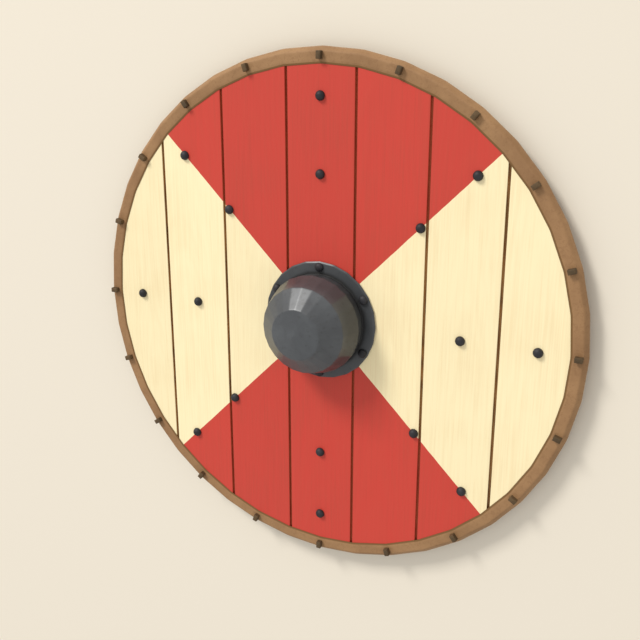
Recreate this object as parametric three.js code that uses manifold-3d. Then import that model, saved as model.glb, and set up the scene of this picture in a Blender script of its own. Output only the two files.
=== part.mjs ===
// A round viking shield lying on its back, painted face up: planks, hide edging, iron boss and
// rivets, and a grip with two battens behind. Millimetres, +Z up, the boss on the Z axis, z = 0
// at the underside of the grip and battens, and the planks running along Y.

import * as THREE from "three";
import { mergeVertices } from "three/addons/utils/BufferGeometryUtils.js";
import Module from "manifold-3d";

const wasm = await Module();
wasm.setup();

// Fits
const contactGap = 0.3; // between pieces that touch
const shankClearance = 0.5; // round a shank in its hole
const roveClearance = 0.8; // round a rove in its pocket
const roveSunk = 0.5; // a rove lies this far above the bar's underside

// Overall sizes
const overallRadius = 433.9; // to the corners of the edging
const boardThickness = 12;
const barThickness = 18; // grip and battens
const rimFlats = 40; // flats round the edging and the boards

// Planks
const plankPitch = 120;
const planksEachSide = 3; // beside the centre plank
const jointWidth = 4.4; // open joint on the painted side
const lapWidth = 5; // lower lip beyond the joint's middle
const lipThickness = 7;

// Edging
const edgingNose = 7.4; // solid hide beyond the boards
const edgingBevel = 7.3; // front face's outer corner to the outermost ridge
const edgingFace = 13.6; // flat front face
const edgingSkive = 6; // thinned inner margin
const edgingRidgeShare = 2 / 3; // depth of the outermost ridge, as a share of the boards' thickness
const edgingWall = 1.4; // how far the edging stands off each side of the boards

// Rim studs
const studCount = 20;
const studLength = 12.5; // radial
const studWidth = 8.2; // tangential
const studInset = 6.6; // ring of studs inside the face's outer corner
const studHeight = 8.2;
const studShank = 4.2;
const studPlate = 10;
const studPlateThickness = 2;

// Board rivets
const rivetSpokes = 8;
const outerRivetInset = 66.5; // from the boards' edge
const rivetRingStep = 120;
const boardHeadRadius = 8.1;
const boardHeadHeight = 7.8;
const boardShankRadius = 2.6;
const roveRadius = 8;
const roveThickness = 2;
const rivetSides = 10;

// Boss
const bossSides = 24;
const sheetThickness = 2.2;
const domeRadius = 82.6; // widest ring
const domeRise = 70; // from the widest ring to the apex
const domeRows = 3;
const wallRise = 29.4; // the widest ring above the boards
const neckInset = 4.1; // neck inside the widest ring
const flangeWidth = 21.5; // outside the neck
const flangeRise = 4.2; // top of the flange above the boards
const flangeDraft = 1; // lower edge of the flange inside its widest ring
const flangeBevel = 1.6; // on the flange's front edge
const neckFillet = 1;
const bossRivetCount = 6;
const bossRivetInset = 9.5; // from the flange's edge
const bossHeadRadius = 7.8;
const bossHeadHeight = 6.4;
const bossShankRadius = 2.3;
const bossRoveRadius = 6.5;

// Hand hole, grip and battens
const handHoleSides = 40;
const boardLedge = 6.3; // wood that shows inside the neck
const gripWidth = 36;
const gripEndMargin = 18; // beyond the outer rivets
const barEndBevel = 9;
const handWidth = 32;
const handRounding = 6;
const handOverlap = 12; // rounded part beyond the hand hole, each side
const battenMargin = 12.7; // beyond its rivets' centres, each side
const battenEndGap = 14; // inside the edging

// Levels and radii that follow
const boardBack = barThickness + contactGap;
const boardFront = boardBack + boardThickness;
const edgingRidgeLevel = boardFront - boardThickness * edgingRidgeShare;
const boardsRadius = overallRadius - edgingNose;
const faceOuterRadius = overallRadius - edgingBevel;
const faceInnerRadius = faceOuterRadius - edgingFace;
const edgingInnerRadius = faceInnerRadius - edgingSkive;
const studRingRadius = faceOuterRadius - studInset;
const outerRivetRadius = boardsRadius - outerRivetInset;
const innerRivetRadius = outerRivetRadius - rivetRingStep;
const neckRadius = domeRadius - neckInset;
const flangeRadius = neckRadius + flangeWidth;
const bossRivetRadius = flangeRadius - bossRivetInset;
const handHoleRadius = neckRadius - sheetThickness - boardLedge;
const diagonalHeight = outerRivetRadius * Math.SQRT1_2;
const battenHeight = (innerRivetRadius + diagonalHeight) / 2;
const battenWidth = Math.abs(diagonalHeight - innerRivetRadius) + 2 * battenMargin;

// Paints and materials
const redPaint = new THREE.MeshStandardMaterial({ color: 0xcf5044, roughness: 0.75 });
const creamPaint = new THREE.MeshStandardMaterial({ color: 0xffeec0, roughness: 0.75 });
const hide = new THREE.MeshStandardMaterial({ color: 0xa17c57, roughness: 0.8 });
const bareWood = new THREE.MeshStandardMaterial({ color: 0xa9814f, roughness: 0.8 });
const bossIron = new THREE.MeshStandardMaterial({ color: 0x55575a, roughness: 0.4, metalness: 0.8 });
const nailIron = new THREE.MeshStandardMaterial({ color: 0x36383c, roughness: 0.5, metalness: 0.8 });
const studIron = new THREE.MeshStandardMaterial({ color: 0x4b3c2e, roughness: 0.6, metalness: 0.6 });

// Solids

function signedVolume(positions, corners) {
  const [a, b, c] = [new THREE.Vector3(), new THREE.Vector3(), new THREE.Vector3()];
  let sum = 0;
  for (let i = 0; i < corners.length; i += 3) {
    a.fromBufferAttribute(positions, corners[i]);
    b.fromBufferAttribute(positions, corners[i + 1]);
    c.fromBufferAttribute(positions, corners[i + 2]);
    sum += a.dot(b.cross(c));
  }
  return sum;
}

function solidFrom(geometry) {
  const bare = geometry.clone();
  bare.deleteAttribute("normal");
  bare.deleteAttribute("uv");
  const merged = mergeVertices(bare);
  const index = merged.index.array;
  const corners = [];
  for (let i = 0; i < index.length; i += 3) {
    const [a, b, c] = index.slice(i, i + 3);
    if (a !== b && b !== c && c !== a) corners.push(a, b, c);
  }
  if (signedVolume(merged.attributes.position, corners) < 0) corners.reverse();
  const vertProperties = new Float32Array(merged.attributes.position.array);
  const triVerts = new Uint32Array(corners);
  return new wasm.Manifold(new wasm.Mesh({ numProp: 3, vertProperties, triVerts }));
}

function geometryFrom(solid) {
  const mesh = solid.getMesh();
  const geometry = new THREE.BufferGeometry();
  geometry.setAttribute("position", new THREE.BufferAttribute(mesh.vertProperties, 3));
  geometry.setIndex(new THREE.BufferAttribute(mesh.triVerts, 1));
  geometry.computeVertexNormals();
  return geometry;
}

// A profile of [radius, height] pairs turned about Z
function turned(profile, sides) {
  const points = profile.map(([radius, height]) => new THREE.Vector2(radius, height));
  return new THREE.LatheGeometry(points, sides).rotateX(Math.PI / 2);
}

function drum(radius, low, high, sides) {
  const geometry = new THREE.CylinderGeometry(radius, radius, high - low, sides);
  return geometry.rotateX(Math.PI / 2).translate(0, 0, (low + high) / 2);
}

function block(sizeX, sizeY, low, high) {
  return new THREE.BoxGeometry(sizeX, sizeY, high - low).translate(0, 0, (low + high) / 2);
}

// An outline of [x, y] pairs raised from one level to another
function raised(outline, low, high) {
  const shape = new THREE.Shape(outline.map(([x, y]) => new THREE.Vector2(x, y)));
  const geometry = new THREE.ExtrudeGeometry(shape, { depth: high - low, bevelEnabled: false });
  return geometry.translate(0, 0, low);
}

// A section of [x, z] pairs drawn out along Y between two places
function drawnAlongY(section, start, end) {
  const geometry = raised(section, 0, end - start);
  return geometry.rotateX(Math.PI / 2).translate(0, end, 0);
}

function onCircle(radius, angle) {
  return [radius * Math.cos(angle), radius * Math.sin(angle)];
}

function joined(solids) {
  return solids.reduce((whole, next) => whole.add(next));
}

function cutFrom(whole, cutters) {
  return cutters.reduce((rest, cutter) => rest.subtract(cutter), whole);
}

const shield = new THREE.Group();

function place(name, geometry, material, x = 0, y = 0, angle = 0) {
  const mesh = new THREE.Mesh(geometry, material);
  mesh.name = name;
  mesh.position.set(x, y, 0);
  mesh.rotation.z = angle;
  shield.add(mesh);
}

// Where the fastenings go

function boardRivets() {
  const rivets = [];
  for (let spoke = 0; spoke < rivetSpokes; spoke += 1) {
    const angle = (2 * Math.PI * spoke) / rivetSpokes;
    const along = spoke % (rivetSpokes / 2) === 0;
    const across = (spoke + rivetSpokes / 4) % (rivetSpokes / 2) === 0;
    const [innerX, innerY] = onCircle(innerRivetRadius, angle);
    const [outerX, outerY] = onCircle(outerRivetRadius, angle);
    rivets.push({ ring: "inner", spoke, x: innerX, y: innerY, throughBar: along || across });
    rivets.push({ ring: "outer", spoke, x: outerX, y: outerY, throughBar: !across });
  }
  return rivets;
}

function bossRivets() {
  const rivets = [];
  for (let i = 0; i < bossRivetCount; i += 1) {
    const [x, y] = onCircle(bossRivetRadius, (2 * Math.PI * (i + 0.5)) / bossRivetCount);
    rivets.push({ x, y });
  }
  return rivets;
}

function studPlaces() {
  const places = [];
  for (let i = 0; i < studCount; i += 1) {
    const angle = (2 * Math.PI * i) / studCount;
    const [x, y] = onCircle(studRingRadius, angle);
    places.push({ x, y, angle });
  }
  return places;
}

function shankHoles(rivets, shankRadius, low, high) {
  const hole = solidFrom(drum(shankRadius + shankClearance, low, high, rivetSides));
  return rivets.map(({ x, y }) => hole.translate(x, y, 0));
}

function studHoles(low, high) {
  const side = studShank + 2 * shankClearance;
  const hole = solidFrom(block(side, side, low, high));
  return studPlaces().map(({ x, y, angle }) => {
    return hole.rotate(0, 0, THREE.MathUtils.radToDeg(angle)).translate(x, y, 0);
  });
}

// Planks

// Lower lips point away from the centre, so each joint shows bare wood and no daylight
function centreSection() {
  const edge = plankPitch / 2;
  const lipTop = boardBack + lipThickness;
  const half = [
    [edge + lapWidth, boardBack],
    [edge + lapWidth, lipTop],
    [edge - jointWidth / 2, lipTop],
    [edge - jointWidth / 2, boardFront],
  ];
  const mirrored = half.map(([x, z]) => [-x, z]).reverse();
  return [...half, ...mirrored];
}

function sideSection(step) {
  const inner = (step - 0.5) * plankPitch;
  const last = step === planksEachSide;
  const outer = last ? overallRadius : inner + plankPitch;
  const lipTop = boardBack + lipThickness;
  return [
    [inner + lapWidth + contactGap, boardBack],
    [outer + lapWidth, boardBack],
    [outer + lapWidth, lipTop],
    [outer - jointWidth / 2, lipTop],
    [outer - jointWidth / 2, boardFront],
    [inner + jointWidth / 2, boardFront],
    [inner + jointWidth / 2, lipTop + contactGap],
    [inner + lapWidth + contactGap, lipTop + contactGap],
  ];
}

function addPlanks() {
  const low = boardBack - 1;
  const high = boardFront + 1;
  const disc = solidFrom(drum(boardsRadius, boardBack, boardFront, rimFlats));
  const holes = [
    solidFrom(drum(handHoleRadius, low, high, handHoleSides)),
    ...shankHoles(boardRivets(), boardShankRadius, low, high),
    ...shankHoles(bossRivets(), bossShankRadius, low, high),
    ...studHoles(low, high),
  ];
  const cutPlank = (geometry) => geometryFrom(cutFrom(solidFrom(geometry).intersect(disc), holes));
  const halfGap = contactGap / 2;
  const upper = drawnAlongY(centreSection(), halfGap, overallRadius);
  const lower = drawnAlongY(centreSection(), -overallRadius, -halfGap);
  place("plank_centre_upper", cutPlank(upper), redPaint);
  place("plank_centre_lower", cutPlank(lower), redPaint);
  const names = ["inner", "middle", "outer"];
  for (let step = 1; step <= planksEachSide; step += 1) {
    const paint = step === 1 ? redPaint : creamPaint;
    const right = sideSection(step);
    const left = right.map(([x, z]) => [-x, z]);
    const rightPlank = drawnAlongY(right, -overallRadius, overallRadius);
    const leftPlank = drawnAlongY(left, -overallRadius, overallRadius);
    place(`plank_${names[step - 1]}_right`, cutPlank(rightPlank), paint);
    place(`plank_${names[step - 1]}_left`, cutPlank(leftPlank), paint);
  }
}

// Edging

function addEdging() {
  const front = boardFront + edgingWall;
  const back = boardBack - edgingWall;
  const channel = boardsRadius + contactGap;
  const section = [
    [edgingInnerRadius, boardFront + contactGap],
    [faceInnerRadius, front],
    [faceOuterRadius, front],
    [overallRadius, edgingRidgeLevel],
    [faceOuterRadius, back],
    [faceInnerRadius, back],
    [edgingInnerRadius, boardBack - contactGap],
    [channel, boardBack - contactGap],
    [channel, boardFront + contactGap],
    [edgingInnerRadius, boardFront + contactGap],
  ];
  const strip = solidFrom(turned(section, rimFlats));
  place("edging", geometryFrom(cutFrom(strip, studHoles(back - 1, front + 1))), hide);
}

function studGeometry() {
  const seat = boardFront + edgingWall + contactGap;
  const plateTop = boardBack - edgingWall - contactGap;
  const plateBottom = plateTop - studPlateThickness;
  return geometryFrom(joined([
    solidFrom(block(studLength, studWidth, seat, seat + studHeight)),
    solidFrom(block(studShank, studShank, plateBottom, seat + studHeight / 2)),
    solidFrom(block(studPlate, studPlate, plateBottom, plateTop)),
  ]));
}

function addStuds() {
  const geometry = studGeometry();
  studPlaces().forEach(({ x, y, angle }, i) => {
    place(`rim_stud_${String(i + 1).padStart(2, "0")}`, geometry, studIron, x, y, angle);
  });
}

// Rivets

// A domed head on its seat, a shank, and a round rove with the shank's end hammered flush
function rivetGeometry(seat, headRadius, headHeight, shankRadius, roveTop, roveEdge) {
  const roveBottom = roveTop - roveThickness;
  return turned([
    [0, roveBottom],
    [roveEdge, roveBottom],
    [roveEdge, roveTop],
    [shankRadius, roveTop],
    [shankRadius, seat],
    [headRadius, seat],
    [headRadius * 0.9, seat + headHeight * 0.5],
    [headRadius * 0.5, seat + headHeight * 0.9],
    [0, seat + headHeight],
  ], rivetSides);
}

function addBoardRivets() {
  const seat = boardFront + contactGap;
  const sunkTop = roveSunk + roveThickness;
  const bareTop = boardBack - contactGap;
  const make = (roveTop) => rivetGeometry(
    seat, boardHeadRadius, boardHeadHeight, boardShankRadius, roveTop, roveRadius,
  );
  const longRivet = make(sunkTop);
  const shortRivet = make(bareTop);
  for (const { ring, spoke, x, y, throughBar } of boardRivets()) {
    place(`board_rivet_${ring}_${spoke + 1}`, throughBar ? longRivet : shortRivet, nailIron, x, y);
  }
}

function addBossRivets() {
  const seat = boardFront + flangeRise + contactGap;
  const roveTop = boardBack - contactGap;
  const geometry = rivetGeometry(
    seat, bossHeadRadius, bossHeadHeight, bossShankRadius, roveTop, bossRoveRadius,
  );
  bossRivets().forEach(({ x, y }, i) => {
    place(`boss_rivet_${i + 1}`, geometry, nailIron, x, y);
  });
}

// Boss

// Rings of the dome from its widest one up to the apex, for the outside or the inside of the sheet
function domeRings(inset) {
  const rings = [];
  for (let row = 0; row <= domeRows; row += 1) {
    const angle = (Math.PI / 2) * (row / domeRows);
    const radius = (domeRadius - inset) * Math.cos(angle);
    rings.push([row === domeRows ? 0 : radius, wallRise + (domeRise - inset) * Math.sin(angle)]);
  }
  return rings;
}

function addBoss() {
  const underside = flangeRise - sheetThickness;
  const outside = [
    [flangeRadius - flangeDraft, contactGap],
    [flangeRadius, flangeRise - flangeBevel],
    [flangeRadius - flangeBevel, flangeRise],
    [neckRadius + neckFillet, flangeRise],
    [neckRadius, flangeRise + neckFillet],
    ...domeRings(0),
  ];
  const inside = [
    ...domeRings(sheetThickness).reverse(),
    [neckRadius - sheetThickness, flangeRise + neckFillet],
    [neckRadius + neckFillet - sheetThickness, underside],
    [flangeRadius - sheetThickness, underside],
    [flangeRadius - flangeDraft - sheetThickness, contactGap],
  ];
  const profile = [...outside, ...inside, outside[0]];
  const sheet = turned(profile.map(([radius, rise]) => [radius, boardFront + rise]), bossSides);
  const holes = shankHoles(bossRivets(), bossShankRadius, boardFront, boardFront + 2 * flangeRise);
  place("boss", geometryFrom(cutFrom(solidFrom(sheet), holes)), bossIron);
}

// Grip and battens

function barOutline(start, end, halfWidth) {
  const half = [
    [end, halfWidth - barEndBevel],
    [end - barEndBevel, halfWidth],
    [start + barEndBevel, halfWidth],
    [start, halfWidth - barEndBevel],
  ];
  const mirrored = half.map(([x, y]) => [x, -y]).reverse();
  return [...half, ...mirrored];
}

function handSection() {
  const [halfWidth, top] = [handWidth / 2, barThickness];
  const round = [];
  for (const [sideX, sideY] of [[1, 1], [-1, 1], [-1, -1], [1, -1]]) {
    const centreX = sideX * (halfWidth - handRounding);
    const centreY = top / 2 + sideY * (top / 2 - handRounding);
    const first = Math.atan2(sideY, sideX) - Math.PI / 4;
    for (const turn of [0, 0.5, 1]) {
      const [x, y] = onCircle(handRounding, first + (turn * Math.PI) / 2);
      round.push([centreX + x, centreY + y]);
    }
  }
  return round;
}

// A shank hole and a pocket for its rove in a bar's underside
function barHoles(rivets) {
  const pocketRadius = roveRadius + roveClearance;
  const pocketTop = roveSunk + roveThickness + contactGap;
  const pocket = solidFrom(drum(pocketRadius, -1, pocketTop, rivetSides));
  const pockets = rivets.map(({ x, y }) => pocket.translate(x, y, 0));
  return [...shankHoles(rivets, boardShankRadius, -1, barThickness + 1), ...pockets];
}

function addGrip() {
  const barStart = handHoleRadius + handOverlap / 2;
  const barEnd = outerRivetRadius + gripEndMargin;
  const handHalf = handHoleRadius + handOverlap;
  const right = raised(barOutline(barStart, barEnd, gripWidth / 2), 0, barThickness);
  const left = right.clone().rotateZ(Math.PI);
  const hand = drawnAlongY(handSection(), -handHalf, handHalf).rotateZ(Math.PI / 2);
  const bar = joined([solidFrom(right), solidFrom(left), solidFrom(hand)]);
  const rivets = boardRivets().filter(({ y }) => Math.abs(y) < gripWidth / 2);
  place("grip", geometryFrom(cutFrom(bar, barHoles(rivets))), bareWood);
}

function addBattens() {
  const reach = edgingInnerRadius - battenEndGap;
  const halfLength = Math.sqrt(reach ** 2 - (battenHeight + battenWidth / 2) ** 2);
  const outline = barOutline(-halfLength, halfLength, battenWidth / 2);
  const bar = solidFrom(raised(outline, 0, barThickness));
  for (const [name, side] of [["batten_upper", 1], ["batten_lower", -1]]) {
    const rivets = boardRivets().filter(({ y, throughBar }) => throughBar && side * y > gripWidth);
    const whole = bar.translate(0, side * battenHeight, 0);
    place(name, geometryFrom(cutFrom(whole, barHoles(rivets))), bareWood);
  }
}

addPlanks();
addEdging();
addStuds();
addBoardRivets();
addBoss();
addBossRivets();
addGrip();
addBattens();

export default shield;
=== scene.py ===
import math
import bmesh
import bpy
from mathutils import Matrix, Vector, noise


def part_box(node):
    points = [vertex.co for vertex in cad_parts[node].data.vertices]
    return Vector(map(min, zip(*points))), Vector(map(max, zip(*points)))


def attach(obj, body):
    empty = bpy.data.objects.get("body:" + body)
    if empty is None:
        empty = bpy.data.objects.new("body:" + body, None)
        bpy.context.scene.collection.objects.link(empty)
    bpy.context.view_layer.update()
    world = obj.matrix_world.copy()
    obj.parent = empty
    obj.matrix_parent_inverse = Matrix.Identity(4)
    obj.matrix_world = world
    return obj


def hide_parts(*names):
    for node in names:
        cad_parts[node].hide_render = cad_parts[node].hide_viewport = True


# A round viking shield lying on its back: painted planks, hide edging, iron boss and rivets,
# and a wooden grip with two battens behind. Metres, +Z out of the painted face.

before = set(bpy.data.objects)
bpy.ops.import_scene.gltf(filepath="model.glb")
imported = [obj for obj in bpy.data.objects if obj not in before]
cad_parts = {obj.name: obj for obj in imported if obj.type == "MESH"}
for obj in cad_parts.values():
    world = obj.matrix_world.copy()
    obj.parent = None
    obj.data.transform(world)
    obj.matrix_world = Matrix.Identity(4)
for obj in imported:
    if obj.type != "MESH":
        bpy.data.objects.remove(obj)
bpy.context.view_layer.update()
print("frame loaded:", len(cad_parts), "nodes")

mm = 0.001
scene = bpy.context.scene
scene.view_settings.view_transform = "Standard"

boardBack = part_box("plank_outer_right")[0].z
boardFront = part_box("plank_outer_right")[1].z
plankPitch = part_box("plank_middle_right")[0].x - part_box("plank_inner_right")[0].x
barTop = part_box("grip")[1].z


# Sockets with arithmetic, and the trees they sit in

class Wire:
    def __init__(self, sheet, socket):
        self.sheet = sheet
        self.socket = socket

    def __add__(self, other):
        return self.sheet.maths("ADD", self, other)

    def __radd__(self, other):
        return self.sheet.maths("ADD", other, self)

    def __sub__(self, other):
        return self.sheet.maths("SUBTRACT", self, other)

    def __rsub__(self, other):
        return self.sheet.maths("SUBTRACT", other, self)

    def __mul__(self, other):
        return self.sheet.maths("MULTIPLY", self, other)

    def __rmul__(self, other):
        return self.sheet.maths("MULTIPLY", other, self)

    def __truediv__(self, other):
        return self.sheet.maths("DIVIDE", self, other)

    def __rtruediv__(self, other):
        return self.sheet.maths("DIVIDE", other, self)

    def __mod__(self, other):
        return self.sheet.maths("MODULO", self, other)

    def __pow__(self, other):
        return self.sheet.maths("POWER", self, other)

    def __gt__(self, other):
        return self.sheet.maths("GREATER_THAN", self, other)

    def __abs__(self):
        return self.sheet.maths("ABSOLUTE", self)

    def clamped(self):
        return self.sheet.add("ShaderNodeClamp", {}, {"Value": self})

    def between(self, low, high):  # 0 below low, 1 above high, smooth in between
        settings = {"interpolation_type": "SMOOTHSTEP", "clamp": True}
        links = {"Value": self, "From Min": low, "From Max": high}
        return self.sheet.add("ShaderNodeMapRange", settings, links)


class Sheet:
    def __init__(self, tree):
        self.tree = tree

    def add(self, kind, settings=None, links=None, out=0):
        node = self.tree.nodes.new(kind)
        for key, value in (settings or {}).items():
            if key == "stops":
                setStops(node.color_ramp, value)
            else:
                setattr(node, key, value)
        for key, value in (links or {}).items():
            self.plug(node.inputs[key], value)
        return Wire(self, node.outputs[out]) if node.outputs else node

    def plug(self, socket, value):
        if isinstance(value, Wire):
            self.tree.links.new(value.socket, socket)
        else:
            socket.default_value = value

    def maths(self, operation, *values):
        links = dict(enumerate(values))
        return self.add("ShaderNodeMath", {"operation": operation}, links)

    def vectors(self, operation, *values, out=0):
        links = dict(enumerate(values))
        return self.add("ShaderNodeVectorMath", {"operation": operation}, links, out)

    def parts(self, vector):
        node = self.add("ShaderNodeSeparateXYZ", {}, {"Vector": vector})
        return [Wire(self, socket) for socket in node.socket.node.outputs]

    def vector(self, x, y, z):
        return self.add("ShaderNodeCombineXYZ", {}, {"X": x, "Y": y, "Z": z})

    def mix(self, share, first, second, blend="MIX"):
        settings = {"data_type": "RGBA", "blend_type": blend, "clamp_factor": True}
        return self.add("ShaderNodeMix", settings, {0: share, 6: first, 7: second}, out=2)

    def toned(self, colour, tone):
        return self.mix(1.0, colour, self.vector(tone, tone, tone), "MULTIPLY")

    def grain(self, vector, scale, detail=4, roughness=0.5, distortion=0.0):
        links = {"Vector": vector, "Scale": scale, "Detail": detail, "Roughness": roughness}
        links["Distortion"] = distortion
        return self.add("ShaderNodeTexNoise", {}, links)

    def cells(self, vector, scale):
        links = {"Vector": vector, "Scale": scale}
        return self.add("ShaderNodeTexVoronoi", {"feature": "F1"}, links, "Distance")

    def stretched(self, vector, x, y, z):
        return self.vectors("MULTIPLY", vector, (x, y, z))

    def painted(self, name):  # a mesh attribute, in a material
        return self.add("ShaderNodeAttribute", {"attribute_name": name}, out="Fac")

    def named(self, name):  # a mesh attribute, in a Geometry Nodes tree
        settings = {"data_type": "FLOAT"}
        return self.add("GeometryNodeInputNamedAttribute", settings, {"Name": name}, "Attribute")

    def stored(self, geometry, name, value):
        settings = {"data_type": "FLOAT", "domain": "POINT"}
        links = {"Geometry": geometry, "Name": name, "Value": value}
        return self.add("GeometryNodeStoreNamedAttribute", settings, links)

    def shapeOf(self, piece):
        settings = {"transform_space": "ORIGINAL"}
        return self.add("GeometryNodeObjectInfo", settings, {"Object": piece}, "Geometry")

    def pushed(self, geometry, level):  # along the surface's own normals
        offset = self.vectors("SCALE", self.add("GeometryNodeInputNormal"))
        self.plug(offset.socket.node.inputs["Scale"], level)
        return self.add("GeometryNodeSetPosition", {}, {"Geometry": geometry, "Offset": offset})


def setStops(ramp, stops):
    while len(ramp.elements) < len(stops):
        ramp.elements.new(0.5)
    for element, (place, colour) in zip(ramp.elements, stops):
        element.position = place
        element.color = colour


def linear(red, green, blue):  # an sRGB colour of 0 to 255 as shader values
    def channel(value):
        value = value / 255
        return value / 12.92 if value <= 0.04045 else ((value + 0.055) / 1.055) ** 2.4
    return (channel(red), channel(green), channel(blue), 1.0)


def newMaterial(name):
    material = bpy.data.materials.new(name)
    material.use_nodes = True
    material.node_tree.nodes.clear()
    sheet = Sheet(material.node_tree)
    place = sheet.add("ShaderNodeTexCoord", out="Object")
    return material, sheet, place


def finishMaterial(sheet, colour, rough, metal=0.0, bumps=(), **shader):
    normal = None
    for height, strength, depth in bumps:
        links = {"Height": height, "Strength": strength, "Distance": depth}
        if normal:
            links["Normal"] = normal
        normal = sheet.add("ShaderNodeBump", {}, links)
    links = {"Base Color": colour, "Roughness": rough, "Metallic": metal, **shader}
    if normal:
        links["Normal"] = normal
    surface = sheet.add("ShaderNodeBsdfPrincipled", {}, links)
    sheet.add("ShaderNodeOutputMaterial", {}, {"Surface": surface})


# Board finishes: milk paint in quarters on the face, bare oiled wood elsewhere

paintLook = {
    "red": linear(200, 58, 45),
    "redThin": linear(180, 62, 46),
    "cream": linear(251, 237, 193),
    "creamThin": linear(236, 212, 164),
    "wood": (0.30, 0.16, 0.07, 1.0),  # shows faintly through the coat
    "edgeWander": 0.8 * mm,  # how far the hand-painted quarter line strays
    "roughness": 0.62,
}

woodSizes = {
    "ring": 4.6 * mm,  # width of a year's growth
    "pithDepth": 22 * mm,  # how far the pith lies below a board, and how much that varies
    "pithSpread": 30 * mm,
    "pithSide": 60 * mm,  # how far to the side it may lie
    "pithSlope": 0.05,
    "sideBend": 45 * mm,
    "depthBend": 30 * mm,
    "waver": 4 * mm,
}


def plankPlace(sheet, place):
    # Each plank's grain starts somewhere else
    tag = sheet.painted("plank")
    return sheet.vectors("ADD", place, sheet.vector(0.0, tag * 1.7, tag * 0.31)), tag


def woodFigure(sheet, place, tag):
    # Fibres along Y, and growth rings round a pith that runs askew under each board
    sizes = woodSizes
    slow = sheet.grain(sheet.stretched(place, 22, 1.6, 22), 1.0, 3, 0.55, 0.6)
    bend = sheet.grain(sheet.stretched(place, 7, 2.2, 7), 1.0, 3, 0.5) - 0.5
    x, y = sheet.parts(place)[:2]
    across = (x + 8.5 * plankPitch) % plankPitch - plankPitch / 2  # from its own plank's middle
    across = across + (tag - 0.5) * sizes["pithSide"] + bend * sizes["sideBend"]
    below = sizes["pithDepth"] + tag * sizes["pithSpread"] + y * sizes["pithSlope"]
    below = below + bend * sizes["depthBend"]
    reach = (across ** 2 + below ** 2) ** 0.5
    rings = sheet.maths("SINE", (reach + slow * sizes["waver"]) * (math.tau / sizes["ring"])) * 0.5 + 0.5
    fibres = sheet.grain(sheet.stretched(place, 900, 26, 900), 1.0, 5, 0.65)
    return slow, rings ** 1.6, fibres


def makePaint():
    material, sheet, place = newMaterial("milk_paint")
    own, tag = plankPlace(sheet, place)
    x, y = sheet.parts(place)[:2]
    rings, fibres = woodFigure(sheet, own, tag)[1:]
    strokes = sheet.grain(sheet.stretched(own, 340, 7, 340), 1.0, 4, 0.6, 0.3)
    patches = sheet.grain(own, 9.0, 3, 0.5)
    wander = (sheet.grain(place, 55.0, 2) - 0.5) * (2 * paintLook["edgeWander"])
    side = (abs(x) - abs(y) + wander).between(-0.25 * mm, 0.25 * mm)
    thin = (strokes * 0.6 + patches * 0.4).between(0.42, 0.72)
    red = sheet.mix(thin * 0.5, paintLook["red"], paintLook["redThin"])
    cream = sheet.mix(thin * 0.5, paintLook["cream"], paintLook["creamThin"])
    colour = sheet.mix(side, red, cream)
    depth = (rings * 0.35 + fibres * 0.65) * 0.16
    colour = sheet.mix(depth, colour, sheet.mix(0.35, colour, paintLook["wood"]))
    colour = sheet.toned(colour, 0.965 + tag * 0.05)
    rough = paintLook["roughness"] + (strokes - 0.5) * 0.16
    bumps = [(fibres, 0.35, 0.25 * mm), (strokes, 0.30, 0.35 * mm), (rings, 0.20, 0.3 * mm)]
    finishMaterial(sheet, colour, rough, 0.0, bumps)
    return material


bareLook = {
    "seep": linear(172, 54, 30),  # red paint that ran into the joints
    "seepFrom": 6.5 * mm,  # height above the boards' back
    "seepFade": 4 * mm,  # how softly it ends at the quarter line
    "seepShare": 0.8,
    "light": linear(186, 142, 84),
    "dark": linear(130, 92, 49),
    "fibre": linear(92, 62, 31),
    "roughness": 0.66,
}


def makeBareWood(name, along, look):
    material, sheet, place = newMaterial(name)
    x, y, z = sheet.parts(place)
    if along == "X":  # the bars run across the planks
        place = sheet.vector(y, x, z)
    own, tag = plankPlace(sheet, place)
    slow, rings, fibres = woodFigure(sheet, own, tag)
    figure = (rings * 0.42 + slow * 0.58).between(0.2, 0.85)
    colour = sheet.mix(figure, look["light"], look["dark"])
    colour = sheet.toned(colour, 0.86 + tag * 0.24)
    pores = fibres.between(0.52, 0.72)
    colour = sheet.mix(pores * 0.55, colour, look["fibre"])
    if "seep" in look:
        side = (abs(x) - abs(y)).between(-look["seepFade"], look["seepFade"])
        seeped = (1 - side) * (z > boardBack + look["seepFrom"])
        colour = sheet.mix(seeped * look["seepShare"], colour, look["seep"])
    rough = look["roughness"] + (fibres - 0.5) * 0.2
    bumps = [(fibres, 0.5, 0.35 * mm), (rings, 0.3, 0.4 * mm)]
    finishMaterial(sheet, colour, rough, 0.0, bumps)
    return material


barLook = {
    "light": linear(158, 110, 66),
    "dark": linear(104, 66, 36),
    "fibre": linear(78, 48, 26),
    "roughness": 0.5,
}

edgingSizes = {
    "outer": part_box("edging")[1].x,
    "bevel": 7.3 * mm,
    "face": 13.6 * mm,
    "skive": 6 * mm,
    "wall": 1.4 * mm,
    "ridge": 4 * mm,  # the outermost ridge above the boards' back
    "cutEdge": 0.35 * mm,  # height of the strip's cut inner edge
    "nose": 7.4 * mm,
    "gap": 0.3 * mm,
    "seat": 0.06 * mm,
    "flats": 40,
    "perFlat": 12,
    "step": 2.2 * mm,
    "softness": 0.12,
    "dent": 0.3 * mm,
    "spread": 42.0,
    "seed": 3.0,
    "press": 0.45 * mm,  # how far a stud presses the hide in
}

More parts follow.
